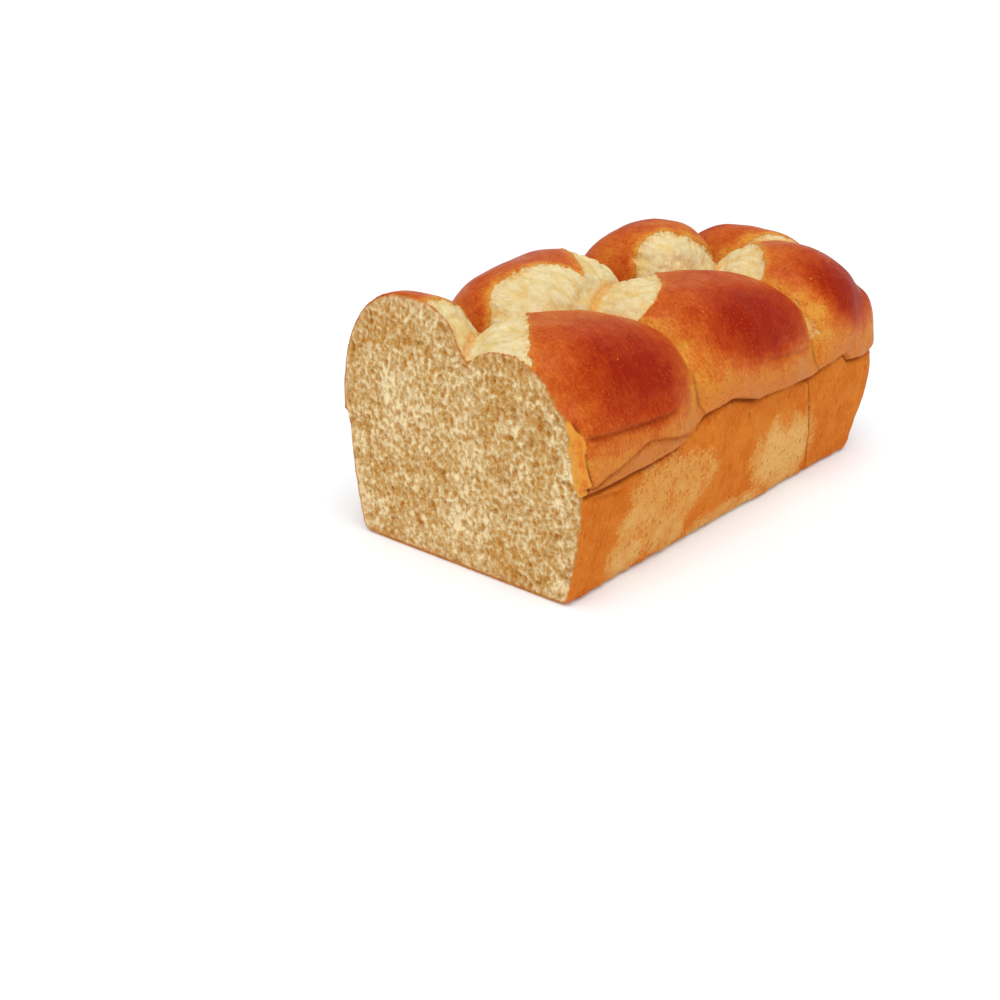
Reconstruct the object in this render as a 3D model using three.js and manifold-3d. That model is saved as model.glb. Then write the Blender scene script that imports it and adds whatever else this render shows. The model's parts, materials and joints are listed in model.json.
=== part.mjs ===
// A plaited brioche baked in a loaf pan, with one end sliced off.
//
// The lower half of the loaf took the shape of its pan: a flat base and drafted walls with rounded
// corners. Above the pan's rim the dough stands as a plait of two rows of lobes, which swelled out
// over the rim a little. The creases of the front row fall opposite the lobes of the back row.
// It was baked as one piece, so all of it is one closed solid. The knife's cut is the flat face at -X.
//
// Millimetres. +X runs along the loaf from the cut face to the heel, +Y to the back, +Z up.
// The origin is the middle of the loaf's own box, on the surface that it stands on.
import * as THREE from "three";
import { mergeVertices } from "three/addons/utils/BufferGeometryUtils.js";
import Module from "manifold-3d";

// The loaf as a whole. Lengths along it are measured from the cut face.
const LENGTH = 210; // to the heel's wall at the rim
const BASE_WIDTH = 98;
const RIM_WIDTH = 108;
const RIM_HEIGHT = 47; // where the dough left the pan
const CROWN_HEIGHT = 96; // top of the back row

// The part that the pan shaped.
const HUMP_HEIGHT = 76; // the body's top, hidden under the lobes
const HUMP_FULLNESS = 2.4; // 2 is a round shoulder, more is a squarer one
const HUMP_SHARE = 0.93; // how much of the shoulder's quarter turn is there before the flat top
const BODY_STEPS = 12;
const END_DRAFT = 6; // how far the heel's wall leans out from base to rim
const CORNER_RADIUS = 17; // upright corners at the heel
const CORNER_SEGMENTS = 9;
const FOOT_RADIUS = 4; // the edge round the base
const FOOT_SEGMENTS = 3;
const WALL_BOW = 1; // the crust sags out between base and rim

// The plait. A lobe lies between two neighbouring creases of its row.
const FRONT_CREASES = [0, 70, 152];
const BACK_CREASES = [-52, 29, 108, 184];
const LOBE_OVERLAP = 0.575; // a lobe's half length as a share of the distance between its creases
const LOBE_FULLNESS = 2.35; // round its length: 2 is an ellipse, more is boxier
const END_FULLNESS = 3; // the same along its length
const LOBE_LEAN = 0.15; // how far a lobe's crown leans to the middle of the loaf, per unit of height
const LOBE_CENTRE = 63; // height of a lobe's widest place
const RING_SEGMENTS = 40;
const LENGTH_SEGMENTS = 24;

const KNIFE_REACH = 90; // dough beyond the cut that the knife takes off

const wasm = await Module();
wasm.setup();

// A closed three.js geometry as a solid that can be joined and cut.
function solid(geometry) {
  geometry.deleteAttribute("normal");
  geometry.deleteAttribute("uv");
  const merged = mergeVertices(geometry, 1e-3);
  return new wasm.Manifold(
    new wasm.Mesh({
      numProp: 3,
      vertProperties: merged.attributes.position.array,
      triVerts: new Uint32Array(merged.index.array),
    }),
  );
}

// A solid back as a three.js geometry.
function geometryOf(made) {
  const mesh = made.getMesh();
  const geometry = new THREE.BufferGeometry();
  geometry.setAttribute("position", new THREE.BufferAttribute(mesh.vertProperties, 3));
  geometry.setIndex(new THREE.BufferAttribute(mesh.triVerts, 1));
  geometry.computeVertexNormals();
  return geometry;
}

// Moves every point of a geometry by a function of that point.
function reshape(geometry, change) {
  const positions = geometry.attributes.position;
  const point = new THREE.Vector3();
  for (let i = 0; i < positions.count; i++) {
    change(point.fromBufferAttribute(positions, i));
    positions.setXYZ(i, point.x, point.y, point.z);
  }
  return geometry;
}

// How far out a point is, where 1 is on the unit superellipse of this fullness.
function superSize(along, fullness) {
  const sum = along.reduce((total, part) => total + Math.pow(Math.abs(part), fullness), 0);
  return Math.pow(sum, 1 / fullness);
}

// The pan's plan at the rim, with the two corners of the heel rounded.
function panPlan() {
  const half = RIM_WIDTH / 2 - FOOT_RADIUS;
  const end = LENGTH - FOOT_RADIUS;
  const radius = CORNER_RADIUS - FOOT_RADIUS;
  const plan = new THREE.Shape();
  plan.moveTo(-KNIFE_REACH, -half);
  plan.lineTo(end - radius, -half);
  plan.absarc(end - radius, -half + radius, radius, -Math.PI / 2, 0, false);
  plan.absarc(end - radius, half - radius, radius, 0, Math.PI / 2, false);
  plan.lineTo(-KNIFE_REACH, half);
  plan.closePath();
  return plan;
}

// The pan-shaped body: the plan raised, its walls drafted and bowed up to the rim, its top a hump.
function panBody() {
  const block = new THREE.ExtrudeGeometry(panPlan(), {
    depth: HUMP_HEIGHT - 2 * FOOT_RADIUS,
    steps: BODY_STEPS,
    curveSegments: CORNER_SEGMENTS,
    bevelSize: FOOT_RADIUS,
    bevelThickness: FOOT_RADIUS,
    bevelSegments: FOOT_SEGMENTS,
  });
  block.translate(0, 0, FOOT_RADIUS);
  return solid(
    reshape(block, (p) => {
      const rise = Math.min(p.z / RIM_HEIGHT, 1);
      const bow = WALL_BOW * Math.sin(Math.PI * rise);
      const side = THREE.MathUtils.lerp(BASE_WIDTH, RIM_WIDTH, rise) + 2 * bow;
      const above = Math.max(0, p.z - RIM_HEIGHT) / (HUMP_HEIGHT - RIM_HEIGHT);
      const shoulder = 1 - Math.pow(1 - Math.pow(HUMP_SHARE * above, HUMP_FULLNESS), 1 / HUMP_FULLNESS);
      p.y *= (side / RIM_WIDTH) * (1 - shoulder);
      p.x -= ((END_DRAFT * (1 - rise) - bow + (shoulder * RIM_WIDTH) / 2) * p.x) / LENGTH;
    }),
  );
}

// One lobe of the plait: a full egg with its crown leaning to the middle of the loaf.
function lobe({ x, y, top, reach, width, rake = 0, turn = 0 }) {
  const depth = top - LOBE_CENTRE;
  const egg = new THREE.SphereGeometry(1, RING_SEGMENTS, LENGTH_SEGMENTS);
  egg.rotateZ(-Math.PI / 2);
  reshape(egg, (p) => {
    p.divideScalar(superSize([p.x, superSize([p.y, p.z], LOBE_FULLNESS)], END_FULLNESS));
    p.set(p.x * reach, p.y * width, p.z * depth);
    p.y -= Math.sign(y) * LOBE_LEAN * p.z;
    p.z += rake * p.x * Math.max(0, p.z / depth);
  });
  egg.rotateZ(THREE.MathUtils.degToRad(turn));
  egg.translate(x, y, LOBE_CENTRE);
  return solid(egg);
}

// The lobes of one row, one between each two neighbouring creases.
function row(creases, form) {
  return creases.slice(1).map((crease, i) => {
    const pitch = crease - creases[i];
    return lobe({ ...form, x: crease - pitch / 2, reach: pitch * LOBE_OVERLAP });
  });
}

// The two rows, the front row's last lobe at the heel, and the plait's tail tucked in beside it.
function plait() {
  const front = { y: -24.5, top: CROWN_HEIGHT - 3, width: 30.5, rake: -0.1, turn: -4 };
  const back = { y: 25, top: CROWN_HEIGHT, width: 30.5, rake: 0.03, turn: 4 };
  const heel = { ...front, x: LENGTH - 30, top: CROWN_HEIGHT - 7, reach: 32, turn: 0 };
  const tail = { x: LENGTH - 22, y: 11, top: CROWN_HEIGHT - 5, reach: 24, width: 40 };
  return [...row(FRONT_CREASES, front), ...row(BACK_CREASES, back), lobe(heel), lobe(tail)];
}

// Everything on the heel's side of the knife.
function keptSide() {
  const box = new THREE.BoxGeometry(2 * LENGTH, 2 * RIM_WIDTH, 2 * CROWN_HEIGHT);
  box.translate(LENGTH, 0, CROWN_HEIGHT);
  return solid(box);
}

const baked = plait().reduce((loaf, piece) => loaf.add(piece), panBody());
const geometry = geometryOf(baked.intersect(keptSide()));
geometry.computeBoundingBox();
const middle = geometry.boundingBox.getCenter(new THREE.Vector3());
geometry.translate(-middle.x, -middle.y, 0);

const crust = new THREE.MeshStandardMaterial({ color: 0xb5581c, roughness: 0.45, metalness: 0 });
const brioche = new THREE.Mesh(geometry, crust);
brioche.name = "brioche_loaf";

const loaf = new THREE.Group();
loaf.add(brioche);
export default loaf;
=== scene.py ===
# %% [markdown]
# # A plaited brioche with one end sliced off
# A brioche of this kind is baked in a loaf pan. The pan shapes the lower half: a flat base and four
# walls that lean out a little. Above the rim nothing holds the dough, so the plait swells into two
# rows of fat lobes. They were brushed with egg and baked a glossy red-brown, and where the oven pulled
# them apart the dough that was hidden shows pale. The knife's cut shows the crumb.
#
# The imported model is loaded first. It fixes how big the loaf is and where it stands.

# %% Load the frame
import json
import math

import bpy
import numpy as np
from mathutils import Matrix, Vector, noise
from mathutils.kdtree import KDTree

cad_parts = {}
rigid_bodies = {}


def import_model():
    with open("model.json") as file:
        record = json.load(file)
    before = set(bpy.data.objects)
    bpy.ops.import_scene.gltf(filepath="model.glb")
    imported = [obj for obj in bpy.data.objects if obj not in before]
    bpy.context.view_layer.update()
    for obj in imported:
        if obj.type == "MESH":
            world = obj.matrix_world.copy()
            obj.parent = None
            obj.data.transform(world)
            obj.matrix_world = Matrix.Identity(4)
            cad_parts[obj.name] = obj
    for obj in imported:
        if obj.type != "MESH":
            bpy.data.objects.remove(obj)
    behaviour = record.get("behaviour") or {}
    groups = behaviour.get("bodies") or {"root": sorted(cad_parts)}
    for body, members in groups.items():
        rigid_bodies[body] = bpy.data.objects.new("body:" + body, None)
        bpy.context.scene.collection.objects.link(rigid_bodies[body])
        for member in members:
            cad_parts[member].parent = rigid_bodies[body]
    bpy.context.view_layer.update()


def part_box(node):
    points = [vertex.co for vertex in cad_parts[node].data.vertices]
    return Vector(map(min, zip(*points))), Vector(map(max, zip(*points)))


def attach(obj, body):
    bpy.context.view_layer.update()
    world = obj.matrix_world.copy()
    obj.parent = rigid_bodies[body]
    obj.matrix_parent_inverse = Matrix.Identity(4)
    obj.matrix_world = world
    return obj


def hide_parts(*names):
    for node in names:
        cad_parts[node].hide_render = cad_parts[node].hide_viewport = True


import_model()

low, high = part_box("brioche_loaf")
print("the loaf's box, in metres:", [round(v, 4) for v in (*low, *high)])

# %% [markdown]
# ## A baker's ruler
# Every size below is in millimetres of this loaf, and every place along it is measured from the cut.
# `MM` turns them into metres. It comes from the frame, so the loaf fits its box at any size.

# %% Sizes
LOAF_LENGTH = 212
MM = (high.x - low.x) / LOAF_LENGTH
BASE_WIDTH = 98
RIM_WIDTH = 108
RIM_HEIGHT = 47
CROWN_HEIGHT = (high.z - low.z) / MM
PAN_LENGTH = 213.5
KNIFE_WASTE = 60  # dough that is modelled past the cut and then sliced away
print(f"one loaf millimetre is {MM:.6f} m, and the crown stands {CROWN_HEIGHT:.1f} mm high")


def deselect_all():
    """Every operator acts on the selection, so each step starts from none."""
    if bpy.context.mode != "OBJECT":
        bpy.ops.object.mode_set(mode="OBJECT")
    bpy.ops.object.select_all(action="DESELECT")


def make_active(piece):
    deselect_all()
    piece.select_set(True)
    bpy.context.view_layer.objects.active = piece


def points_of(piece):
    """The piece's vertices as one array, in millimetres from the cut."""
    flat = np.empty(len(piece.data.vertices) * 3)
    piece.data.vertices.foreach_get("co", flat)
    points = flat.reshape(-1, 3) / MM
    points[:, 0] -= low.x / MM
    return points


def move_points(piece, points):
    """Puts the vertices at new places, in millimetres from the cut."""
    placed = points.copy()
    placed[:, 0] += low.x / MM
    piece.data.vertices.foreach_set("co", (placed * MM).ravel())
    piece.data.update()


def normals_of(piece):
    flat = np.empty(len(piece.data.vertices) * 3)
    piece.data.vertices.foreach_get("normal", flat)
    return flat.reshape(-1, 3)


# %% [markdown]
# ## Camera and stage
# The camera stands to the left of the front, a little above, and looks at the cut and the long front
# wall together. The floor is plain and pale, and it isn't part of the loaf.

# %% Camera
VIEW_AZIMUTH = math.radians(-49.4)
VIEW_ELEVATION = math.radians(23.3)
VIEW_DISTANCE = 452 * MM
LENS = 50
aim = Vector((low.x - 15 * MM, -32 * MM, 40 * MM))

bpy.ops.object.camera_add()
camera = bpy.context.object
camera.name = "studio_camera"
camera.data.lens = LENS
camera.data.sensor_width = 36
camera.data.clip_start = 0.01
to_camera = Vector((
    math.sin(VIEW_AZIMUTH) * math.cos(VIEW_ELEVATION),
    -math.cos(VIEW_AZIMUTH) * math.cos(VIEW_ELEVATION),
    math.sin(VIEW_ELEVATION),
))
camera.location = aim + to_camera * VIEW_DISTANCE
camera.rotation_euler = to_camera.to_track_quat("Z", "Y").to_euler()
bpy.context.scene.camera = camera
print("camera at", [round(v, 3) for v in camera.location])

# %% [markdown]
# ## The lobes of the plait
# A lobe is a ball of dough that was pressed against its neighbours, so it is squarer than a ball. Each
# point of a sphere is pushed out to a superellipsoid, which does that evenly. Then the lobe is
# sheared, because the plait drew its crown to the middle of the loaf, sloped from one end to the
# other, and turned so that the two rows make a row of arrows. `read` runs the same steps backwards:
# it says how far a point is from the middle of the lobe, where 1 is on its skin. The later steps use
# that to find the creases.

# %% A lobe
ROUND_FULLNESS = 2.35  # round its length: 2 is an ellipse, more is boxier
CROWN_LEAN = 0.15
LOBE_MIDDLE = 62  # height of the widest place


def super_size(parts, fullness):
    return sum(np.abs(part) ** fullness for part in parts) ** (1 / fullness)


class Lobe:
    def __init__(self, name, x, y, top, reach, width, slope=0.0, turn=0.0, middle=LOBE_MIDDLE, ends=3):
        self.name = name
        self.middle = np.array([x, y, middle])
        self.reach, self.width, self.depth, self.ends = reach, width, top - middle, ends
        self.slope, self.side = slope, math.copysign(1, y)
        angle = math.radians(turn) * self.side
        self.cos, self.sin = math.cos(angle), math.sin(angle)

    def place(self, ball):
        """Takes points of a unit sphere to the lobe's skin."""
        x, y, z = ball.T
        size = super_size([x, super_size([y, z], ROUND_FULLNESS)], self.ends)
        x, y, z = x / size * self.reach, y / size * self.width, z / size * self.depth
        y = y - self.side * CROWN_LEAN * z
        z = z + self.slope * x * np.maximum(0, z / self.depth)
        turned = np.stack([x * self.cos - y * self.sin, x * self.sin + y * self.cos, z], axis=1)
        return turned + self.middle

    def read(self, points):
        """Distance share (1 on the skin), place along (-1 to 1) and angle round, 0 on top."""
        x, y, z = (points - self.middle).T
        x, y = x * self.cos + y * self.sin, -x * self.sin + y * self.cos
        rise = 1 + self.slope * x / self.depth
        z = np.where(z > 0, z / rise, z)
        y = y + self.side * CROWN_LEAN * z
        x, y, z = x / self.reach, y / self.width, z / self.depth
        size = super_size([x, super_size([y, z], ROUND_FULLNESS)], self.ends)
        return size, x, np.degrees(np.arctan2(y * self.side, z))


# %% [markdown]
# A lobe lies between two neighbouring creases of its row. The front row's creases fall opposite the
# middles of the back row's lobes. The last lobe of the front row and the tail of the plait end where
# the pan ended. Under each lobe lies its skirt: the part that sagged over the pan's rim in a long roll.

# %% The plait
FRONT_CREASES = [0, 70, 152, 204]
BACK_CREASES = [-52, 29, 109, 168, 210]
OVERLAP = 0.575  # a lobe's half length as a share of the length it shows
FRONT_FORM = dict(y=-24.5, width=30.5, slope=-0.12, turn=9)
BACK_FORM = dict(y=25.5, width=29.5, slope=0.04, turn=7)
SKIRT_FORM = dict(top=74, width=12.5, middle=57, ends=5)
SKIRT_OVERLAP = 1.03
# Each lobe's start and end along the loaf, and its top.
FRONT_LOBES = [(0, 70, 89), (70, 152, 89)]
BACK_LOBES = [(-52, 21.5, 96), (35.5, 104, 96), (122, 163.5, 97.5)]


def lobes_between(name, places, form):
    lobes = []
    for number, (start, end, top) in enumerate(places, 1):
        middle, length = (start + end) / 2, end - start
        lobes.append(Lobe(f"{name}_{number}", x=middle, top=top, reach=length * OVERLAP, **form))
    return lobes


def skirts_between(name, creases, y):
    rolls = []
    for number, (start, end) in enumerate(zip(creases, creases[1:]), 1):
        middle, half = (start + end) / 2, (end - start) / 2
        reach = half * SKIRT_OVERLAP
        rolls.append(Lobe(f"{name}_skirt_{number}", x=middle, y=y, reach=reach, **SKIRT_FORM))
    return rolls


front_row = lobes_between("front", FRONT_LOBES, FRONT_FORM)
front_row.append(
    Lobe("front_heel", x=177.5, y=-24.5, top=89.5, reach=34, width=31, slope=-0.1, turn=2, ends=2.0)
)
back_row = lobes_between("back", BACK_LOBES, BACK_FORM)
back_row.append(Lobe("tail", x=191, y=6.5, top=91, reach=21.5, width=35, slope=-0.07, ends=2.1))
front_skirts = skirts_between("front", FRONT_CREASES, -42.5)
back_skirts = skirts_between("back", BACK_CREASES, 39.6)
heel_skirt = Lobe("heel_skirt", x=199.5, y=4, top=68, reach=12.5, width=45, middle=56)
plait = front_row + back_row
skirts = front_skirts + back_skirts
print("lobes:", ", ".join(lobe.name for lobe in plait))

BALL_SEGMENTS = 96
BALL_RINGS = 64


def model_lobe(lobe):
    deselect_all()
    bpy.ops.mesh.primitive_uv_sphere_add(segments=BALL_SEGMENTS, ring_count=BALL_RINGS, radius=1)
    ball = bpy.context.object
    ball.name = lobe.name
    bpy.ops.object.mode_set(mode="EDIT")
    bpy.ops.mesh.select_all(action="SELECT")
    bpy.ops.transform.rotate(value=math.pi / 2, orient_axis="Y", center_override=(0, 0, 0))
    bpy.ops.object.mode_set(mode="OBJECT")
    flat = np.empty(len(ball.data.vertices) * 3)
    ball.data.vertices.foreach_get("co", flat)
    move_points(ball, lobe.place(flat.reshape(-1, 3)))
    return ball


dough = [model_lobe(lobe) for lobe in plait + skirts + [heel_skirt]]

# %% [markdown]
# ## The half that the pan shaped
# This is box modelling, because a pan is a box with soft corners. It starts as a cube. Edit mode works
# on what is selected, so a small helper selects edges or faces by where they are.

# %% A block of dough
END_DRAFT = 6  # how much longer the pan is at its rim than at its base
block_length = PAN_LENGTH - END_DRAFT + KNIFE_WASTE


def from_cut(x, y, z):
    """A place in metres, from millimetres measured from the cut."""
    return Vector((low.x + x * MM, y * MM, z * MM))


def select_in_edit(piece, kind, test):
    """Selects the edges or faces whose corners all pass a test, in millimetres from the cut."""
    bpy.ops.object.mode_set(mode="EDIT")
    bpy.ops.mesh.select_mode(type=kind)
    bpy.ops.mesh.select_all(action="DESELECT")
    bpy.ops.object.mode_set(mode="OBJECT")
    mesh = piece.data
    for item in {"EDGE": mesh.edges, "FACE": mesh.polygons}[kind]:
        places = [mesh.vertices[i].co / MM - Vector((low.x / MM, 0, 0)) for i in item.vertices]
        item.select = all(test(place) for place in places)
    bpy.ops.object.mode_set(mode="EDIT")


deselect_all()
bpy.ops.mesh.primitive_cube_add(size=1)
body = bpy.context.object
body.name = "pan_body"
bpy.ops.object.mode_set(mode="EDIT")
bpy.ops.mesh.select_all(action="SELECT")
bpy.ops.transform.resize(value=(block_length * MM, BASE_WIDTH * MM, RIM_HEIGHT * MM))
bpy.ops.transform.translate(
    value=from_cut((PAN_LENGTH - END_DRAFT - KNIFE_WASTE) / 2, 0, RIM_HEIGHT / 2)
)
print(f"the block is {block_length} mm long with its waste")

# %% [markdown]
# A pan is wider at its rim, so that the loaf slides out: the top face is spread. The pan's upright
# corners are round, so the two at the heel get a bevel with many segments. The waste end stays square,
# because the knife takes it away.

# %% Draft and corners
CORNER_RADIUS = 17
CORNER_SEGMENTS = 12
waste_end = from_cut(-KNIFE_WASTE, 0, RIM_HEIGHT)

select_in_edit(body, "FACE", lambda place: place.z > RIM_HEIGHT - 1)
spread = (1 + END_DRAFT / block_length, RIM_WIDTH / BASE_WIDTH, 1)
bpy.ops.transform.resize(value=spread, center_override=waste_end)
select_in_edit(body, "EDGE", lambda place: place.x > PAN_LENGTH - END_DRAFT - 1)
bpy.ops.object.mode_set(mode="OBJECT")
for edge in body.data.edges:
    ends = [body.data.vertices[i].co for i in edge.vertices]
    edge.select = edge.select and abs(ends[0].z - ends[1].z) > RIM_HEIGHT * MM / 2
bpy.ops.object.mode_set(mode="EDIT")
bpy.ops.mesh.bevel(offset=CORNER_RADIUS * MM, segments=CORNER_SEGMENTS, affect="EDGES")

# %% [markdown]
# Dough springs out a little when it leaves the pan. Three levels are cut with bisect, which leaves the
# new loop selected, and each loop is widened. The foot, where wall and base meet, gets a small bevel.

# %% Bowed walls and foot
WALL_BOW = 1.2
FOOT_RADIUS = 3.5
FOOT_SEGMENTS = 4

for level in (0.25, 0.5, 0.75):
    bpy.ops.mesh.select_all(action="SELECT")
    height = RIM_HEIGHT * level
    bpy.ops.mesh.bisect(plane_co=from_cut(0, 0, height), plane_no=(0, 0, 1))
    bow = WALL_BOW * math.sin(math.pi * level)
    bpy.ops.transform.resize(
        value=(1 + bow / block_length, 1 + 2 * bow / RIM_WIDTH, 1),
        center_override=from_cut(-KNIFE_WASTE, 0, height),
    )
select_in_edit(body, "EDGE", lambda place: place.z < 0.1)
bpy.ops.mesh.bevel(offset=FOOT_RADIUS * MM, segments=FOOT_SEGMENTS, affect="EDGES")

# %% [markdown]
# The lobes are hollow below, so the body has to fill the plait from inside. The top is extruded in
# steps, and each step is shrunk along the curve of a superellipse.

# %% The hump under the plait
HUMP_HEIGHT = 70
HUMP_FULLNESS = 2.4
HUMP_SHARE = 0.93
HUMP_STEPS = 7

select_in_edit(body, "FACE", lambda place: place.z > RIM_HEIGHT - 0.1)
rise = (HUMP_HEIGHT - RIM_HEIGHT) / HUMP_STEPS
width_now = 1.0
for step in range(1, HUMP_STEPS + 1):
    share = HUMP_SHARE * step / HUMP_STEPS
    width_next = (1 - share**HUMP_FULLNESS) ** (1 / HUMP_FULLNESS)
    bpy.ops.mesh.extrude_region_move(TRANSFORM_OT_translate={"value": (0, 0, rise * MM)})
    shrink = width_next / width_now
    shorten = 1 - (width_now - width_next) * RIM_WIDTH / 2 / block_length
    bpy.ops.transform.resize(value=(shorten, shrink, 1), center_override=waste_end)
    width_now = width_next
bpy.ops.object.mode_set(mode="OBJECT")
print("pan body:", len(body.data.vertices), "vertices")

# %% [markdown]
# ## One piece of dough
# In the oven the strands grow together. Joining the meshes and remeshing them with voxels does the
# same: it keeps one outer skin with even faces, and the creases stay where two lobes meet. The knife
# is a bisect. A second remesh lays a fine even grid over the cut too.

# %% Grow together, slice, remesh
VOXEL = 1.28

deselect_all()
for piece in dough + [body]:
    piece.select_set(True)
bpy.context.view_layer.objects.active = body
bpy.ops.object.join()
loaf = bpy.context.object
loaf.name = "brioche_crust_and_crumb"
loaf.data.name = "brioche_crust_and_crumb"


def remesh(piece, size):
    make_active(piece)
    grid = piece.modifiers.new("grow_together", "REMESH")
    grid.mode = "VOXEL"
    grid.voxel_size = size * MM
    bpy.ops.object.modifier_apply(modifier=grid.name)


def smooth(piece, factor, times):
    make_active(piece)
    soften = piece.modifiers.new("soften", "SMOOTH")
    soften.factor = factor
    soften.iterations = times
    bpy.ops.object.modifier_apply(modifier=soften.name)


remesh(loaf, VOXEL)
smooth(loaf, factor=0.5, times=8)
bpy.ops.object.mode_set(mode="EDIT")
bpy.ops.mesh.select_all(action="SELECT")
bpy.ops.mesh.bisect(plane_co=from_cut(0, 0, 0), plane_no=(1, 0, 0), use_fill=True, clear_inner=True)
bpy.ops.object.mode_set(mode="OBJECT")
remesh(loaf, VOXEL)
print("one skin:", len(loaf.data.vertices), "vertices")
select_in_edit(loaf, "FACE", lambda place: place.z < 0.05)
bpy.ops.mesh.dissolve_limited(angle_limit=math.radians(1))
bpy.ops.object.mode_set(mode="OBJECT")
print("with a plain base:", len(loaf.data.vertices), "vertices")

# %% [markdown]
# ## Reading the skin
# From here on the loaf is one mesh, and it is sculpted by moving its points along their normals. First
# each point learns where it is: on which lobe, how far from the nearest crease, how far above the rim,
# and how far inside the egg-washed cap of its lobe. These are plain arrays with one value a point.

# %% Where each point is
def clamp01(value):
    return np.clip(value, 0, 1)


def ease(value, start, end):
    """0 before start, 1 after end, and smooth between them."""
    share = clamp01((value - start) / (end - start))
    return share * share * (3 - 2 * share)


def waves(points, size, seed=0):
    """Smooth noise from about -1 to 1, with bumps this many millimetres across."""
    shift = Vector((seed * 17.3, seed * 5.1, seed * 9.7))
    return np.array([noise.noise(Vector(p) + shift) for p in points / size]) * 1.6


def facing_front(normals):
    """1 on the front wall and the front flanks, 0 where the skin faces elsewhere."""
    return ease(-normals[:, 1], 0.3, 0.7)


# %% [markdown]
# Dough that rises over a rim never stops at a straight line. On the front the line where the overhang
# ends is given as (along, height) places, and on the other sides it wanders about its mean height.

# %% The rim line
FRONT_RIM = [(-5, 42), (37, 42), (56, 44), (69, 50), (86, 53), (92, 52), (105, 48), (133, 48),
             (147, 46), (164, 49), (173, 50), (178, 46), (190, 45), (200, 46.5)]
RIM_MEAN = 46.5
RIM_WANDER = 2.2


def rim_height(points, normals):
    in_front = np.interp(points[:, 0], *zip(*FRONT_RIM))
    elsewhere = RIM_MEAN + RIM_WANDER * waves(points * (1, 1, 0), 18, seed=3)
    share = facing_front(normals) * (1 - ease(points[:, 0], 190, 203))
    return in_front * share + elsewhere * (1 - share)


# %% [markdown]
# A point belongs to the lobe, or to the skirt under it, whose skin is nearest. The crease is where two
# lobes are equally near, so the difference of the two smallest gaps grows with the distance from it.

# %% Lobes and creases
LOBE_RADIUS = 30  # millimetres that one share of a lobe's size stands for
SKIRT_RADIUS = 12
CREASE_SCALE = 1.2


def read_skin(piece):
    points, normals = points_of(piece), normals_of(piece)
    reads = [lobe.read(points) for lobe in plait]
    gaps = np.stack([
        np.minimum((read[0] - 1) * LOBE_RADIUS, (skirt.read(points)[0] - 1) * SKIRT_RADIUS)
        for read, skirt in zip(reads, skirts)
    ])
    owner = gaps.argmin(0)
    two = np.partition(gaps, 1, axis=0)[:2]
    every = np.arange(len(points))
    along = np.stack([read[1] for read in reads])[owner, every]
    round_angle = np.stack([read[2] for read in reads])[owner, every]
    return dict(
        points=points, normals=normals, owner=owner, along=along, round=round_angle,
        crease=(two[1] - two[0]) * CREASE_SCALE, above_rim=points[:, 2] - rim_height(points, normals),
    )


skin = read_skin(loaf)
for number, lobe in enumerate(plait):
    print(f"{lobe.name}: {(skin['owner'] == number).sum()} points")

# %% [markdown]
# ## The egg-washed caps
# The egg only reached what lay open before baking. In the front row the cap's edge runs slantwise
# over the end that came up from under the back row, and the rest of its inner side faces away. In the
# back row the torn dough shows as an arch under the cap, facing the valley, and the end that dives
# under the next lobe is pale too. `egg_wash` is the distance inside the cap in millimetres: it is
# negative where the dough is pale.

# %% Caps
# For each front lobe: (angle round it, place along it) of the cap's slanting edge.
FRONT_CAPS = [
    [(-50, 0.0), (-20, -0.28), (2, -0.50), (25, -0.74), (38, -0.82), (50, -0.95), (120, -1.1)],
    [(-50, 0.1), (-9, -0.32), (11, -0.50), (25, -0.71), (32, -0.95), (45, -1.3)],
    [(-50, 0.2), (-10, -0.28), (11, -0.62), (20, -0.85), (30, -1.3)],
]
FRONT_INNER_EDGE = -50
# For each back lobe and the tail: (place along it, angle round it) of the arch.
BACK_ARCHES = [
    [(-1, -40), (0.2, -14), (0.55, -18), (0.8, -30), (1, -50)],
    [(-1, -20), (-0.85, 0), (-0.74, 5), (-0.46, 1), (-0.29, -3), (-0.10, -9), (0.0, -24),
     (0.10, -60)],
    [(-1, -30), (-0.86, -10), (-0.53, -9), (-0.28, -14), (-0.02, -28), (0.16, -39), (1, -60)],
    [(-1, -9), (-0.67, -10), (-0.36, -13), (-0.19, -18), (0.0, -27), (0.3, -60)],
]
# Where the second back lobe dives under the third, its pale end shows from here on, on top.
TUCKED_LOBE = 1
TUCKED_FROM = 0.47
TUCK_SLANT = 0.0115
HEEL_LOBE = 2
HEEL_END = 200  # beyond this the last lobes are crust all round
# The front heel lies over its neighbour, and a pale lip shows in the crease, between these angles.
LAP_WIDTH = 0.9
LAP_ANGLES = (50, 95)
MOST_INSIDE = 12


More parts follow.
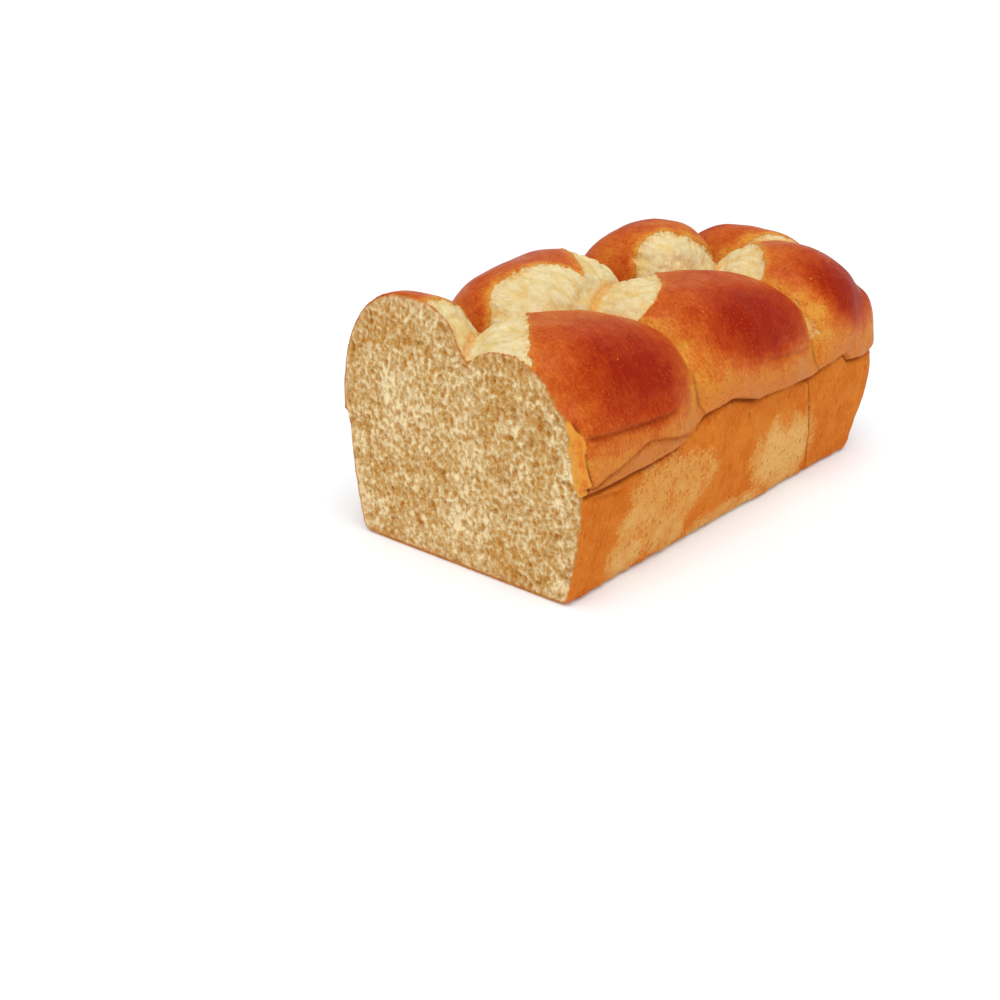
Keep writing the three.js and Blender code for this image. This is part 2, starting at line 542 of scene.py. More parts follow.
def egg_wash_of(skin):
    along, angle, owner = skin["along"], skin["round"], skin["owner"]
    inside = np.full(len(along), 10.0)
    mm_per_degree = math.radians(LOBE_RADIUS)
    for number, edge in enumerate(FRONT_CAPS):
        begin = np.interp(angle, *zip(*edge))
        ends = (along - begin) * front_row[number].reach
        inner = (angle - FRONT_INNER_EDGE) * mm_per_degree
        inside = np.where(owner == number, np.minimum(ends, inner), inside)
    for number, arch in enumerate(BACK_ARCHES):
        inner = (angle - np.interp(along, *zip(*arch))) * mm_per_degree
        if number == TUCKED_LOBE:
            tucked = (TUCKED_FROM + TUCK_SLANT * angle - along) * back_row[number].reach
            inner = np.minimum(inner, tucked)
        inside = np.where(owner == number + len(front_row), inner, inside)
    inside = np.maximum(inside, skin["points"][:, 0] - HEEL_END)
    lap = (owner == HEEL_LOBE) & (angle > LAP_ANGLES[0]) & (angle < LAP_ANGLES[1]) & (along < 0)
    inside = np.where(lap, np.minimum(inside, skin["crease"] - LAP_WIDTH), inside)
    ragged = 0.9 * waves(skin["points"], 5, seed=5) + 0.6 * waves(skin["points"], 2, seed=6)
    return np.clip(inside + ragged, -MOST_INSIDE, MOST_INSIDE)


skin["egg_wash"] = egg_wash_of(skin)
print("egg-washed share of the skin:", round(float((skin["egg_wash"] > 0).mean()), 3))

# %% [markdown]
# ## Sculpting the crust
# The big forms are there, so now come the marks of baking. First the folds and seams of the front wall
# are drawn as lines of places. Two helpers then say how near each point is to a fold or a seam.

# %% Folds and seams
# Each fold on the front wall is a list of (along, height) places, and how far its upper lip stands out.
FRONT_FOLDS = [
    ([(2, 61), (14, 60), (33, 59), (45, 59.5), (52, 61)], 1.4),
    ([(-2, 45.5), (5, 44), (13, 46.5), (22, 48.5), (34, 52), (41, 51.5), (50, 49.5), (62, 48)], 1.7),
    ([(3, 40), (14, 39), (25, 37)], 1.0),
    ([(108, 63), (122, 61.5), (137, 60.5), (150, 60.5)], 0.8),
]
# Two upright seams, each as (along, height) places: on the wall, and beside the flap at the cut.
SEAMS = [
    [(146.5, 47), (149.5, 37), (151, 30), (155, 21), (158.5, 9), (161, 0)],
    [(1.2, 68), (2.4, 58), (3.4, 50), (3.8, 43)],
]
FOLD_FADE = 5
SEAM_WIDTH = 0.75


def faces_near(piece, chosen):
    """Selects the faces whose corners are all chosen, ready for edit mode."""
    make_active(piece)
    mesh = piece.data
    mesh.polygons.foreach_set("select", np.zeros(len(mesh.polygons), dtype=bool))
    mesh.edges.foreach_set("select", np.zeros(len(mesh.edges), dtype=bool))
    mesh.vertices.foreach_set("select", chosen)
    bpy.ops.object.mode_set(mode="EDIT")
    bpy.ops.mesh.select_mode(type="VERT")
    bpy.ops.object.mode_set(mode="OBJECT")
    bpy.ops.object.mode_set(mode="EDIT")
    bpy.ops.mesh.select_mode(type="FACE")


def fold_offset(points, line):
    """Height above a fold's line, and how much of the fold there is at each point."""
    line_x, line_z = zip(*line)
    above = points[:, 2] - np.interp(points[:, 0], line_x, line_z)
    share = ease(points[:, 0], line_x[0], line_x[0] + FOLD_FADE)
    share *= 1 - ease(points[:, 0], line_x[-1] - FOLD_FADE, line_x[-1])
    return above, share


def seam_share(skin):
    """How much of a seam's groove there is at each point, from 0 to 1."""
    points, most = skin["points"], np.zeros(len(skin["points"]))
    for seam in SEAMS:
        line_x, line_z = zip(*reversed(seam))
        beside = points[:, 0] - np.interp(points[:, 2], line_z, line_x)
        reach = ease(points[:, 2], line_z[0] - 3, line_z[0])
        reach *= 1 - ease(points[:, 2], line_z[-1] - 3, line_z[-1])
        most = np.maximum(most, np.exp(-((beside / SEAM_WIDTH) ** 2)) * reach)
    return most * facing_front(skin["normals"])


# %% [markdown]
# Folds, creases, seams, cap edges and the cut need a finer mesh than the rest. Subdividing only the
# faces near them keeps the piece light.

# %% Refine
fine = np.abs(skin["above_rim"]) < 2.6
fine |= seam_share(skin) > 0.03
on_front = skin["normals"][:, 1] < -0.35
for line, lip in FRONT_FOLDS:
    above, share = fold_offset(skin["points"], line)
    fine |= (np.abs(above) < 2.2) & (share > 0) & on_front
fine |= (skin["crease"] < 1.8) & (skin["above_rim"] > 2) & (skin["normals"][:, 2] > -0.2)
fine |= (np.abs(skin["egg_wash"]) < 1.0) & (skin["above_rim"] > 2)
on_cut = skin["points"][:, 0] < 0.6
fine &= ~on_cut
fine |= on_cut & (skin["normals"][:, 0] < -0.9)
fine &= skin["points"][:, 2] > 1
faces_near(loaf, fine)
bpy.ops.mesh.subdivide(number_cuts=1, smoothness=0)
bpy.ops.object.mode_set(mode="OBJECT")
smooth(loaf, factor=0.3, times=1)
skin = read_skin(loaf)
skin["egg_wash"] = egg_wash_of(skin)
print("after refining:", len(loaf.data.vertices), "vertices")

# %% [markdown]
# Each mark is a formula on the arrays, in millimetres along the normal: a groove in every crease, a
# soft unevenness all over, a rough wall, a crumbly edge round the base, the dough that overhangs the
# rim with a gap under it, and the folds. The torn parts sank below the caps, whose edges curl up.

# %% Marks of baking
CREASE_DEPTH = 1.5
CREASE_WIDTH = 1.3
WALL_ROUGHNESS = 0.16
CRUMBLY_BASE = 0.45
CAP_CURL = 0.3
TEAR_DEPTH = 0.7
RIM_LIP = 2.2
GAP_DEPTH = 2.1
SEAM_DEPTH = 0.9


def lip_and_gap(above, lip, gap, reach=5.0, gap_width=1.1):
    """A fold's profile: it swells above its line, and drops into a gap under it."""
    swell = lip * ease(above, -0.3, 0.9) * np.exp(-np.maximum(above, 0) / reach)
    groove = gap * np.exp(-((above + 0.5) / gap_width) ** 2)
    return swell - groove


def tear_folds(points):
    """Thin soft folds in the torn dough, from 0 to 1: they lie where a noise changes sign."""
    first = waves(points * (1, 0.6, 1), 11, seed=24)
    second = waves(points * (0.6, 1, 1), 8, seed=25)
    return np.maximum(np.exp(-((first / 0.09) ** 2)), 0.7 * np.exp(-((second / 0.09) ** 2)))


def bake_marks(skin):
    points, normals = skin["points"], skin["normals"]
    upper = ease(skin["above_rim"], 1, 5)
    open_crust = ease(points[:, 0], 0.2, 1.5) * ease(points[:, 2], 0.2, 2)
    marks = -CREASE_DEPTH * np.exp(-((skin["crease"] / CREASE_WIDTH) ** 2)) * upper
    marks += 0.55 * waves(points, 24, seed=1) + 0.25 * waves(points, 9, seed=2) * (0.4 + 0.6 * upper)
    wall = 1 - ease(skin["above_rim"], -2, 0)
    marks += wall * WALL_ROUGHNESS * waves(points, 2.4, seed=8)
    crumbly = 1 - ease(points[:, 2], 1, 6)
    marks += crumbly * CRUMBLY_BASE * waves(points, 4, seed=9)
    sideways = ease(np.hypot(normals[:, 0], normals[:, 1]), 0.5, 0.8)
    wander = waves(points, 14, seed=4)
    gap = GAP_DEPTH * (0.7 + 0.5 * wander)
    marks += lip_and_gap(skin["above_rim"], RIM_LIP * (0.8 + 0.3 * wander), gap) * sideways
    on_front = facing_front(normals)
    for line, lip in FRONT_FOLDS:
        above, share = fold_offset(points, line)
        near = ease(above, -6, -2) * (1 - ease(above, 12, 20))
        fold = lip_and_gap(above, lip, lip * 0.9, reach=3.5, gap_width=0.9)
        marks += fold * share * near * on_front
    marks -= SEAM_DEPTH * seam_share(skin)
    torn = (1 - ease(skin["egg_wash"], -0.7, 0.4)) * upper * ease(skin["crease"], 0.5, 3)
    fibres = 0.4 * waves(points * (1, 0.4, 1), 3.4, seed=7)
    fibres += 0.2 * waves(points * (1, 0.5, 1), 1.7, seed=19)
    puffs = 0.7 * waves(points, 10, seed=20)
    marks -= torn * (TEAR_DEPTH + fibres + puffs + 0.9 * tear_folds(points))
    cap_rim = np.exp(-(((skin["egg_wash"] - 0.7) / 0.7) ** 2)) * upper
    marks += CAP_CURL * cap_rim
    return marks * open_crust


skin_marks = bake_marks(skin)
move_points(loaf, skin["points"] + skin["normals"] * skin_marks[:, None])
print(f"marks from {skin_marks.min():.2f} to {skin_marks.max():.2f} mm")

# %% [markdown]
# ## The crumb
# The cut is flat, but crumb is foam: round and drawn-out cells of every size, with thin walls between
# them. Cells of three sizes are pressed into the fine grid of the cut. `pore` keeps how deep each point
# lies, so that the colour can darken with it as painted shade, and `cut_edge` how far it is from the
# crust.

# %% Cells in the cut
# For each size of cell: its spacing, its radius as a share of that, its depth and its noise's seed.
PORES = [(5.5, 0.34, 1.1, 11), (3.0, 0.46, 0.8, 12), (1.8, 0.55, 0.5, 13)]
PORE_STRETCH = (1, 1, 0.75)
PORE_WARP = 1.4


def cells(points, size, seed):
    """Distance from each point to the middle of its foam cell, where 1 is one cell size."""
    shift = Vector((seed * 3.7, seed * 11.3, seed * 7.9))
    return np.array([noise.voronoi(Vector(p) + shift)[0][0] for p in points / size])


def crumb_depth(points):
    depth = np.zeros(len(points))
    warp = np.stack([depth, waves(points, 4, 21), waves(points, 4, 22)], axis=1)
    warped = (points + PORE_WARP * warp) * PORE_STRETCH
    for size, radius, deep, seed in PORES:
        open_share = ease(waves(points, size * 2.2, seed), -0.6, 0.3)
        hollow = 1 - ease(cells(warped, size, seed), radius * 0.4, radius)
        depth = np.maximum(depth, hollow * deep * open_share)
    shreds = 0.25 * np.abs(waves(warped, 1.8, 26)) + 0.2 * np.abs(waves(warped, 3.8, 27))
    return depth + shreds


# %% [markdown]
# A KD-tree finds the nearest point of a set quickly. Filled with the crust's points beside the cut, it
# says how far each point of the crumb is from the crust.

# %% Press the cells
CUT_SKIN = 0.35  # a point this near to the knife's plane lies on the cut
BESIDE_CUT = 4

points = points_of(loaf)
cut_points = points[:, 0] < CUT_SKIN
rim_points = points[~cut_points & (points[:, 0] < BESIDE_CUT)]
outline = KDTree(len(rim_points))
for number, place in enumerate(rim_points):
    outline.insert(Vector(place), number)
outline.balance()
cut_edge = np.zeros(len(points))
cut_edge[cut_points] = [outline.find(Vector(place))[2] for place in points[cut_points]]
pore = np.zeros(len(points))
pore[cut_points] = crumb_depth(points[cut_points]) * ease(cut_edge[cut_points], 0.6, 2.5)
points[:, 0] += pore
move_points(loaf, points)
print("points on the cut:", int(cut_points.sum()), "deepest pore:", round(float(pore.max()), 2), "mm")

# %% [markdown]
# ## Values for the finishes
# The material reads these arrays as mesh attributes, so its colours end exactly where the shapes do.
# The first of them says how dark each place is: least near a cap's edges and down on the skirt, where
# it baked paler, and most on the outer flank of a cap, which is painted shade that leaves the crowns
# lighter. The two open lobes of the front row darken close to their torn edge, the others slowly.

# %% Attributes
def store(piece, name, values):
    attribute = piece.data.attributes.new(name, "FLOAT", "POINT")
    attribute.data.foreach_set("value", values.astype(np.float32))


def bake_and_shade_of(skin):
    along, angle, wash, owner = skin["along"], skin["round"], skin["egg_wash"], skin["owner"]
    soon, slowly = 0.5 + 0.5 * ease(wash, -0.3, 3.0), 0.1 + 0.9 * ease(wash, -0.5, 7.5)
    near_tear = np.where(owner < HEEL_LOBE, soon, slowly)
    # painted shade: the outer flank of each cap is darkened, which leaves the crowns lighter
    flank_shade = np.exp(-(((angle - 58) / 36) ** 2) - ((along - 0.12) / 0.66) ** 2)
    crown = 0.29 + 0.08 * np.exp(-(((angle + 5) / 25) ** 2))
    skirt = 0.25 + 0.75 * ease(skin["above_rim"], 6, 20)
    near_crease = 0.2 + 0.8 * ease(skin["crease"], 0.3, 9)
    from_start = (along + 1) * front_row[HEEL_LOBE].reach
    heel_start = np.where(owner == HEEL_LOBE, 0.5 + 0.5 * ease(from_start, 2, 14), 1)
    uneven = 1 + 0.14 * waves(skin["points"], 16, seed=14)
    return clamp01((crown + 0.80 * flank_shade) * near_tear * skirt * near_crease * heel_start * uneven)


# %% [markdown]
# Two more marks of this loaf are colour only: a golden flap of skin that folds round the cut's edge,
# with painted shade inside its fold, and the pale patches of the wall.

# %% Flap and pale patches
# Where steam kept the wall off the tin it stayed pale. On the front wall each patch is given by its
# middle along the loaf and up the wall, its half length and half height, and how pale it is; the rest
# is left to noise.
PALE_PATCHES = [
    (126, 20, 15, 14, 1.3), (142, 15, 17, 18, 1.3), (66, 27, 16, 11, 0.4), (46, 28, 18, 13, 0.4),
    (37, 20, 13, 12, 0.5), (57, 12, 11, 12, 0.6), (31, 9, 12, 9, 0.9), (98, 2, 26, 6, 0.6),
]
FLAP_HEIGHTS = (41, 45, 58, 69)  # it grows from the first to the second, and fades over the last two
FLAP_SIDE = -30  # it lies in front of this place across the loaf
FLAP_ON_SKIN = 3.4
FLAP_ON_CUT = 3.6


def flap_beside_cut(skin, cut_edge, cut_points):
    """Millimetres inside the golden flap that folds round the cut's front edge."""
    points = skin["points"]
    start, full, fade, end = FLAP_HEIGHTS
    share = ease(points[:, 2], start, full) * (1 - ease(points[:, 2], fade, end))
    on_skin = FLAP_ON_SKIN * share - points[:, 0]
    on_cut = FLAP_ON_CUT * share - cut_edge
    inside = np.where(cut_points, on_cut, on_skin) + 0.6 * waves(points, 5, seed=18)
    return np.where(points[:, 1] < FLAP_SIDE, np.clip(inside, -5, 5), -5)


def pale_wall(skin):
    points, normals = skin["points"], skin["normals"]
    in_front = np.full(len(points), -1.0)
    for middle_x, middle_z, half_length, half_height, most in PALE_PATCHES:
        beside = (points[:, 0] - middle_x) / half_length
        away = np.hypot(beside, (points[:, 2] - middle_z) / half_height)
        in_front = np.maximum(in_front, np.minimum((1 - away) * 2.5, most))
    elsewhere = 1.2 * waves(points, 22, seed=15)
    share = facing_front(normals)
    ragged = 0.35 * waves(points, 7, seed=16) + 0.2 * waves(points, 3, seed=17)
    return in_front * share + elsewhere * (1 - share) + ragged


# %% [markdown]
# Each array is stored under a name. `cut_edge` and `pore` are 0 off the cut, so the crumb's look can't
# spill over the crust.

# %% Store the attributes
values = dict(
    egg_wash=skin["egg_wash"],
    bake=bake_and_shade_of(skin),
    above_rim=skin["above_rim"],
    crease=np.minimum(skin["crease"], 20),
    pale_wall=pale_wall(skin),
    seam=seam_share(skin),
    tear_fold=tear_folds(skin["points"]),
    from_cut=np.minimum(skin["points"][:, 0], 30),
    flap=flap_beside_cut(skin, cut_edge, cut_points),
    cut_edge=cut_edge,
    pore=pore,
)
for name, array in values.items():
    store(loaf, name, array)
print("attributes:", ", ".join(values))

# %% [markdown]
# ## Shader maths
# A finish is a network of nodes, and most of its nodes are sums. `Value` wraps one socket so that the
# sums can be written as Python: `1 - mask` adds the Math node that takes the mask from one.

# %% Values
class Value:
    def __init__(self, paint, socket):
        self.paint, self.socket = paint, socket

    def math(self, operation, *others):
        inputs = dict(enumerate((self, *others)))
        made = self.paint.node("ShaderNodeMath", {"operation": operation}, inputs)
        return Value(self.paint, made.outputs[0])

    def __add__(self, other):
        return self.math("ADD", other)

    def __mul__(self, other):
        return self.math("MULTIPLY", other)

    def __sub__(self, other):
        return self.math("SUBTRACT", other)

    def __rsub__(self, other):
        return (self * -1).math("ADD", other)

    __radd__ = __add__
    __rmul__ = __mul__

    def least(self, other):
        return self.math("MINIMUM", other)

    def most(self, other):
        return self.math("MAXIMUM", other)

    def between(self, start, end):
        """0 before start, 1 after end, smooth between."""
        inputs = {"Value": self, "From Min": start, "From Max": end}
        made = self.paint.node("ShaderNodeMapRange", {"interpolation_type": "SMOOTHSTEP"}, inputs)
        return Value(self.paint, made.outputs["Result"])


# %% [markdown]
# Every other node comes from one method, `node`: it takes the node's type, its settings and what goes
# into its sockets. `Paint` is a material, and adds the few patterns that a loaf needs. They are
# measured in millimetres on Object coordinates, so they sit still on the loaf from every side.

# %% Nodes and paint
class NodeBoard:
    """A node tree, for a material or for the room."""

    def __init__(self, tree):
        self.tree = tree

    def node(self, kind, settings=None, inputs=None):
        """A new node. Its settings come first, because they decide which sockets it has."""
        made = self.tree.nodes.new(kind)
        for name, setting in (settings or {}).items():
            if name == "stops":
                self.place_stops(made.color_ramp.elements, setting)
            else:
                setattr(made, name, setting)
        for name, part in (inputs or {}).items():
            self.feed(made.inputs[name], part)
        return made

    def place_stops(self, elements, stops):
        while len(elements) < len(stops):
            elements.new(0.5)
        for element, (position, colour) in zip(elements, stops):
            element.position = position
            element.color = (*colour, 1.0)

    def feed(self, socket, part):
        if isinstance(part, Value):
            part = part.socket
        if isinstance(part, bpy.types.NodeSocket):
            self.tree.links.new(part, socket)
        else:
            socket.default_value = part


class Paint(NodeBoard):
    """One material and the patterns that make it up."""

    def __init__(self, name):
        self.material = bpy.data.materials.new(name)
        self.material.use_nodes = True
        super().__init__(self.material.node_tree)
        self.shader = self.tree.nodes["Principled BSDF"]
        place = self.node("ShaderNodeTexCoord").outputs["Object"]
        scale = {"Vector": place, "Scale": (1 / MM, 1 / MM, 1 / MM)}
        self.ruler = self.node("ShaderNodeMapping", {}, scale).outputs["Vector"]

    def finish(self, looks):
        """Feeds the shader's sockets by name."""
        for name, part in looks.items():
            self.feed(self.shader.inputs[name], part)
        return self.material

    def attribute(self, name):
        made = self.node("ShaderNodeAttribute", {"attribute_name": name})
        return Value(self, made.outputs["Fac"])

    def stretched(self, *scale, turn=(0, 0, 0)):
        inputs = {"Vector": self.ruler, "Scale": scale, "Rotation": turn}
        return self.node("ShaderNodeMapping", {}, inputs).outputs["Vector"]

    def clouds(self, size, detail=2.0, rough=0.5, where=None, twist=0.0):
        """Soft noise from 0 to 1 with spots this many millimetres across."""
        inputs = {"Vector": where or self.ruler, "Scale": 1 / size, "Detail": detail,
                  "Roughness": rough, "Distortion": twist}
        made = self.node("ShaderNodeTexNoise", {}, inputs)
        return Value(self, made.outputs["Fac"])

    def spread(self, *shape, **more):
        """The same noise, stretched so that it really fills the range from 0 to 1."""
        return self.clouds(*shape, **more).between(0.30, 0.70)

    def dots(self, size, where=None):
        """Distance to the nearest of the points strewn this many millimetres apart."""
        inputs = {"Vector": where or self.ruler, "Scale": 1 / size}
        return Value(self, self.node("ShaderNodeTexVoronoi", {}, inputs).outputs["Distance"])

    def mixed(self, share, first, second):
        made = self.node("ShaderNodeMix", {"data_type": "RGBA"})
        for name, part in (("Factor_Float", share), ("A_Color", first), ("B_Color", second)):
            socket = next(s for s in made.inputs if s.identifier == name)
            self.feed(socket, part if not isinstance(part, tuple) else (*part, 1.0))
        return next(s for s in made.outputs if s.identifier == "Result_Color")

    def ramp(self, share, stops):
        return self.node("ShaderNodeValToRGB", {"stops": stops}, {"Fac": share}).outputs["Color"]

    def bump(self, height, strength, distance):
        inputs = {"Height": height, "Strength": strength, "Distance": distance * MM}
        return self.node("ShaderNodeBump", {}, inputs).outputs["Normal"]


# %% [markdown]
# ## The crust
# Three finishes share one skin. Each function returns its colour, its roughness and its relief. The
# caps come first. They are egg wash: golden where it ran thin at their edges, then amber, red-brown and
# nearly mahogany on the flanks, where painted shade deepens them, with fine pores, golden freckles,
# drawn-out streaks and a few pale bubbles. How dark a place is comes from its attribute, which holds
# that painted shade too, and noise at three sizes breaks it up.

# %% Egg-washed caps
GOLD = (0.79, 0.335, 0.045)
ORANGE_GOLD = (0.73, 0.230, 0.026)
AMBER = (0.65, 0.135, 0.016)
RED_BROWN = (0.51, 0.055, 0.004)
MAHOGANY = (0.35, 0.015, 0.001)
SKIRT_TAN = (0.66, 0.190, 0.038)
CAP_RELIEF = 0.5  # how much a cap stands over the finishes round it


def cap_finish(paint, above):
    mottle = paint.spread(8, 5.0, 0.65)
    grain = paint.spread(1.2, 5.0, 0.80)
    across = paint.stretched(1, 0.28, 0.28, turn=(0, 0, 0.1))
    streaks = paint.spread(1.0, 4.0, 0.75, where=across)
    bake = paint.attribute("bake") + (mottle - 0.5) * 0.22
    bake = bake + (grain - 0.5) * 0.20 + (streaks - 0.5) * 0.20
    shades = [(0.0, GOLD), (0.12, ORANGE_GOLD), (0.32, AMBER), (0.62, RED_BROWN), (0.98, MAHOGANY)]
    brown = paint.ramp(bake, shades)
    skirt = (1 - (above + (mottle - 0.5) * 6).between(2, 14)) * 0.7
    brown = paint.mixed(skirt, brown, SKIRT_TAN)
    pores = paint.dots(1.6, where=paint.stretched(1, 1, 1, turn=(0.3, 0.5, 0.1)))
    brown = paint.mixed((1 - pores.between(0.12, 0.32)) * 0.40, brown, MAHOGANY)
    freckles = (1 - paint.dots(1.7).between(0.10, 0.28)) * mottle * 0.40
    brown = paint.mixed(freckles, brown, ORANGE_GOLD)
    bubbles = (1 - paint.dots(9.0).between(0.03, 0.06)) * 0.7
    brown = paint.mixed(bubbles, brown, GOLD)
    wrinkle = paint.spread(3.4, 5.0, 0.65, where=paint.stretched(0.5, 1, 1.4))
    relief = grain * 0.35 + pores.between(0.05, 0.3) * 0.3 + wrinkle * 0.55
    relief = relief + streaks * 0.2 + CAP_RELIEF
    return brown, 0.26 + mottle * 0.14, relief


# %% [markdown]
# The torn dough was inside until the oven pulled it apart, so it never saw egg. It is matte cream with
# soft fibres, with a deeper yellow painted shade in its folds and a golden painted shade towards the
# creases, and golden where it meets a cap.

# %% Torn dough
CREAM = (0.86, 0.67, 0.33)
CREAM_LIGHT = (0.92, 0.79, 0.47)
CREAM_SHADE = (0.84, 0.56, 0.17)


def torn_finish(paint, wash):
    crease = paint.attribute("crease") + (paint.clouds(3, 3.0) - 0.5) * 2.0
    fibre = paint.spread(2.2, 5.0, 0.72, where=paint.stretched(1.0, 0.35, 0.6), twist=1.2)
    lumps = paint.spread(8, 4.0, 0.6)
    pale = paint.mixed(fibre, CREAM_LIGHT, CREAM)
    pale = paint.mixed(lumps.between(0.45, 0.95) * 0.6, pale, CREAM_SHADE)
    # painted shade: the folds of the torn dough are darker and deeper yellow
    folds = paint.attribute("tear_fold") * 0.55
    pale = paint.mixed(folds, pale, CREAM_SHADE)
    # painted shade: the torn dough turns golden and darker towards the creases
    pale = paint.mixed((1 - crease.between(0.2, 3.5)) * 0.6, pale, GOLD)
    granules = paint.spread(1.5, 4.0, 0.75)
    pale = paint.mixed(wash.between(-4.5, -0.2) * granules.between(0.3, 0.8) * 0.7, pale, GOLD)
    return pale, 0.62 + fibre * 0.15, fibre * 0.8 + granules * 0.4


# %% [markdown]
# The pan side is dry and even. It is smooth and orange where it pressed on the tin, and paler, grainy
# and pitted where steam kept it off. The grain decides where the patches end, so they have no outline.

# %% Pan side
PAN_ORANGE = (0.80, 0.225, 0.024)
PAN_DEEP = (0.70, 0.155, 0.011)
PAN_PALE = (0.82, 0.36, 0.080)
PAN_STRAW = (0.88, 0.52, 0.17)
PAN_PIT = (0.50, 0.085, 0.005)


def pan_finish(paint):
    grain = paint.spread(1.1, 4.0, 0.75)
    upright = paint.stretched(1, 1, 0.4, turn=(0.1, 0.05, 0.3))
    fuzz = paint.spread(1.0, 4.0, 0.75, where=upright)
    blotch = paint.spread(7, 5.0, 0.65)
    pale = paint.attribute("pale_wall") + (blotch - 0.5) * 0.5
    patch = (pale * 0.75 + (grain - 0.5) * 0.9).between(-0.16, 0.16)
    smooth_wall = paint.mixed(paint.spread(13, 4.0), PAN_ORANGE, PAN_DEEP)
    smooth_wall = paint.mixed(fuzz.between(0.35, 1.0) * 0.38, smooth_wall, PAN_PALE)
    red_spots = (1 - paint.dots(2.6, where=upright).between(0.15, 0.4)) * blotch.between(0.4, 0.8)
    smooth_wall = paint.mixed(red_spots * 0.55, smooth_wall, PAN_PIT)
    open_wall = paint.mixed(pale.between(0.3, 1.3) * 0.8 + grain * 0.2, PAN_PALE, PAN_STRAW)
    open_wall = paint.mixed((1 - grain.between(0.1, 0.5)) * 0.55, open_wall, PAN_ORANGE)
    pits = (1 - paint.dots(2.2, where=upright).between(0.10, 0.36)) * fuzz.between(0.25, 0.7)
    open_wall = paint.mixed(pits * 0.75, open_wall, PAN_PIT)
    colour = paint.mixed(patch, smooth_wall, open_wall)
    relief = grain * 0.5 + fuzz * 0.5 + (1 - pits * patch) * 0.8 + (1 - red_spots) * 0.3
    return colour, 0.58 + grain * 0.18, relief


# %% [markdown]
# ## The crumb
# Butter and egg make it yellow. Its colours are deeper and warmer than crumb in full light, which is
# painted shade on the cut. The walls of the cells get a painted highlight and are paler, the hollows
# and the deeper pores a warm painted shade, and the crust shows as a thin brown line round the cut,
# fading inwards.

# %% Crumb
CRUMB_LIGHT = (0.96, 0.75, 0.43)
CRUMB = (0.86, 0.50, 0.17)
CRUMB_SHADE = (0.76, 0.33, 0.063)
CRUMB_HOLLOW_SHADE = (0.58, 0.17, 0.015)
CRUST_LINE = (0.66, 0.23, 0.05)


def crumb_finish(paint):
    edge = paint.attribute("cut_edge") + (paint.clouds(2.0) - 0.5) * 1.4
    web = paint.clouds(1.9, 6.0, 0.85, twist=0.5)
    foam = paint.dots(1.8, where=paint.stretched(1, 1, 0.8))
    # painted shade: deeper pores are darker
    tone = web + (foam - 0.45) * 0.20 - paint.attribute("pore") * 0.10
    tone = tone - (paint.clouds(22, 3.0) - 0.5) * 0.30
    # painted highlight on the cell walls and painted shade in the hollows
    shades = [(0.25, CRUMB_HOLLOW_SHADE), (0.355, CRUMB_SHADE), (0.45, CRUMB), (0.575, CRUMB_LIGHT)]
    colour = paint.ramp(tone, shades)
    toast = (1 - edge.between(0.3, 1.5)) * 0.75 + (1 - edge.between(0.6, 6.0)) * 0.22
    colour = paint.mixed(toast.least(1.0), colour, CRUST_LINE)
    return colour, 0.72 + web * 0.2, tone.between(0.2, 0.6) * 1.5


# %% [markdown]
# The layers are laid over each other like a painter's masks: torn dough, cap and pan side, then painted
# shade in the gap under the rim, in the seams and in the creases, then the crumb, and last the golden
# flap at the cut, with painted shade inside its fold. Every mask is an attribute with a little noise
# added, so its edge is crisp but never straight.

# %% The loaf's finish
# painted shade for the gap under the rim, the seams and the creases
GAP_SHADE = (0.30, 0.065, 0.010)
GLOSS = 0.10  # the thin film of egg
COAT_ROUGHNESS = 0.30
DRY_CRUST_SHINE = 0.02
RELIEF_STRENGTH = 0.7
RELIEF_DEPTH = 0.6


def layered(paint, share, under, over):
    """One finish over another, where share is 1."""
    colour = paint.mixed(share, under[0], over[0])
    rest = 1 - share
    return colour, under[1] * rest + over[1] * share, under[2] * rest + over[2] * share


def loaf_finish():
    paint = Paint("brioche_crust_and_crumb")
    wash = paint.attribute("egg_wash") + (paint.clouds(1.6, 4.0, 0.7) - 0.5) * 2.4
    above = paint.attribute("above_rim")
    upper = (above + (paint.clouds(5) - 0.5) * 1.0).between(-0.6, 0.2)
    washed = wash.between(-0.3, 0.3)
    crust = layered(paint, washed, torn_finish(paint, wash), cap_finish(paint, above))
    crust = layered(paint, upper, pan_finish(paint), crust)
    # painted shade: darker in the gap under the rim, in the seams and in the creases between caps
    gap = (1 - (above + 0.8).math("ABSOLUTE").between(0.0, 1.2)) * 0.85
    gap = gap.most(paint.attribute("seam").between(0.35, 0.95) * 0.8)
    gap = gap.most((1 - paint.attribute("crease").between(0.1, 0.8)) * washed * upper * 0.5)
    crust = (paint.mixed(gap, crust[0], GAP_SHADE), crust[1], crust[2])
    beyond = paint.attribute("from_cut") + (paint.clouds(2.2, 3.0, 0.7) - 0.5) * 1.6
    beyond = beyond.between(0.35, 0.75)
    colour, roughness, relief = layered(paint, 1 - beyond, crust, crumb_finish(paint))
    flap_inside = paint.attribute("flap") + (paint.clouds(3, 3.0) - 0.5) * 1.5
    flap = flap_inside.between(-0.3, 0.5)
    # painted shade: the flap is amber inside its fold and golden at its edges
    flap_gold_and_shade = paint.mixed(flap_inside.between(0.6, 2.6) * paint.spread(3, 4.0, 0.7), GOLD, AMBER)
    colour = paint.mixed(flap * 0.9, colour, flap_gold_and_shade)
    relief = relief * (1 - flap) + flap * 2.0
    return paint.finish({
        "Base Color": colour,
        "Roughness": roughness,
        "Normal": paint.bump(relief, RELIEF_STRENGTH, RELIEF_DEPTH),
        "Coat Weight": washed * upper * beyond * GLOSS,
        "Coat Roughness": COAT_ROUGHNESS,
        "Specular IOR Level": DRY_CRUST_SHINE,
    })


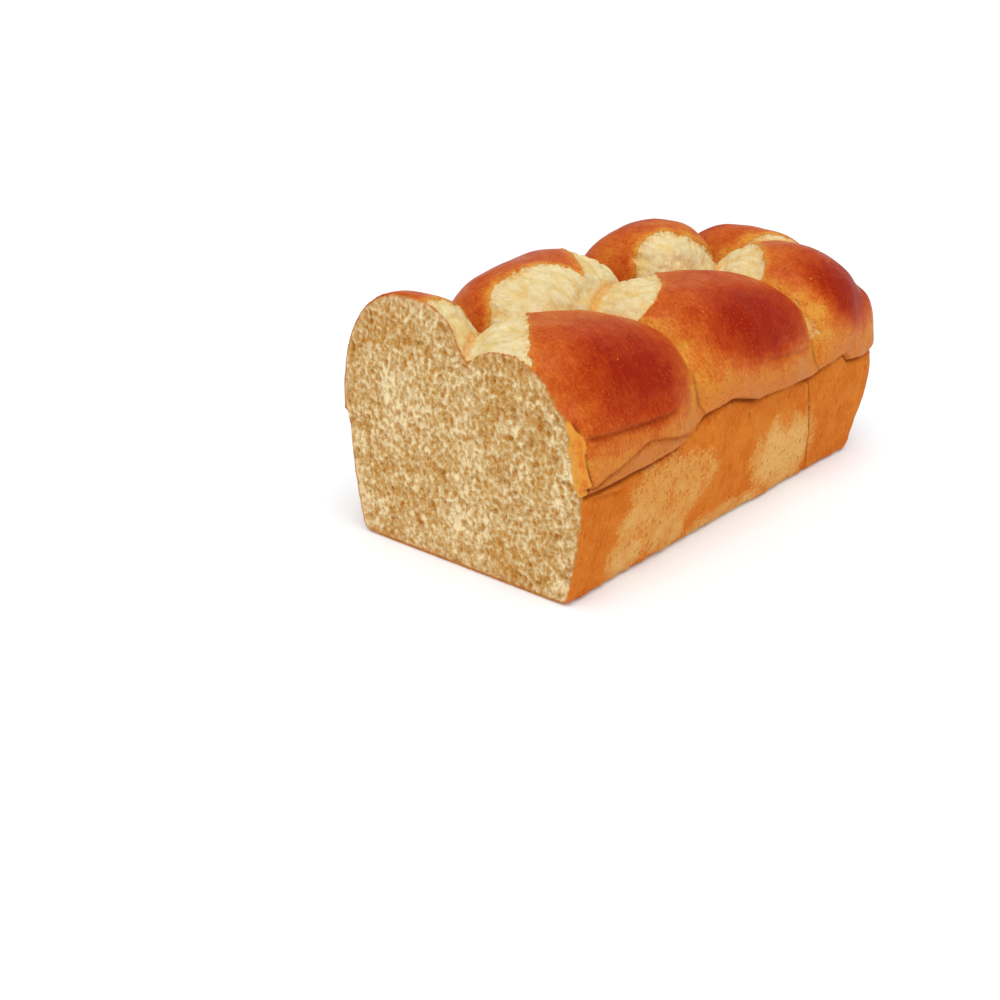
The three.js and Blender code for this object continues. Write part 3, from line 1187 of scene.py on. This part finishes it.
loaf.data.materials.clear()
loaf.data.materials.append(loaf_finish())
make_active(loaf)
bpy.ops.object.shade_smooth()
print("nodes in the finish:", len(loaf.data.materials[0].node_tree.nodes))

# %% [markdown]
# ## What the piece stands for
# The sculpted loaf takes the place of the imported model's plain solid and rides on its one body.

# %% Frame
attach(loaf, "root")
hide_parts("brioche_loaf")

# %% [markdown]
# ## Studio
# A pale floor in an even white room, like a light tent. A sun with a very wide disc works as one big
# soft lamp overhead, a little to the left and front, so that the crowns are brightest, and the walls
# and the cut are in softer light. The loaf throws warm light on the floor, so the floor is a little
# cool and glows faintly, which keeps it white to the edge of the view.

# %% Floor and light
KEY_FROM = Vector((-0.32, -0.30, 1.10))
KEY_STRENGTH = 1.7
KEY_SPREAD = 55
ROOM_LIGHT = 0.60
FLOOR_SIZE = 40  # metres, so that its edge is never seen
COOL_WHITE = (0.91, 0.94, 0.955, 1)
COOL_GLOW = (0.62, 0.87, 1, 1)
GLOW_STRENGTH = 0.115

deselect_all()
bpy.ops.mesh.primitive_plane_add(size=FLOOR_SIZE)
floor = bpy.context.object
floor.name = "studio_floor"
floor.data.materials.append(Paint("studio_floor").finish({
    "Base Color": COOL_WHITE,
    "Roughness": 0.9,
    "Emission Color": COOL_GLOW,
    "Emission Strength": GLOW_STRENGTH,
}))

bpy.ops.object.light_add(type="SUN", location=KEY_FROM)
key = bpy.context.object
key.name = "soft_key"
key.data.energy = KEY_STRENGTH
key.data.angle = math.radians(KEY_SPREAD)
key.rotation_euler = (-KEY_FROM).to_track_quat("-Z", "Y").to_euler()

# %% [markdown]
# The room lights the loaf gently from all round, but it has to look pure white behind it. So rays that
# come straight from the camera see a full white, and all others the dimmer room.

# %% White room
WHITE = (1, 1, 1, 1)
world = bpy.data.worlds.new("white_room")
world.use_nodes = True
room = NodeBoard(world.node_tree)
lighting = room.tree.nodes["Background"]
lighting.inputs["Color"].default_value = WHITE
lighting.inputs["Strength"].default_value = ROOM_LIGHT
backdrop = room.node("ShaderNodeBackground", {}, {"Color": WHITE})
seen = room.node("ShaderNodeLightPath").outputs["Is Camera Ray"]
shaders = {0: seen, 1: lighting.outputs[0], 2: backdrop.outputs[0]}
choose = room.node("ShaderNodeMixShader", {}, shaders)
room.feed(room.tree.nodes["World Output"].inputs["Surface"], choose.outputs[0])
bpy.context.scene.world = world
bpy.context.scene.view_settings.view_transform = "Standard"
print("the key light comes from", [round(v, 2) for v in KEY_FROM])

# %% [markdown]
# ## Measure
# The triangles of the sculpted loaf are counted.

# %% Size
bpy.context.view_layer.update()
triangles = sum(len(face.vertices) - 2 for face in loaf.data.polygons)
print("triangles:", triangles)
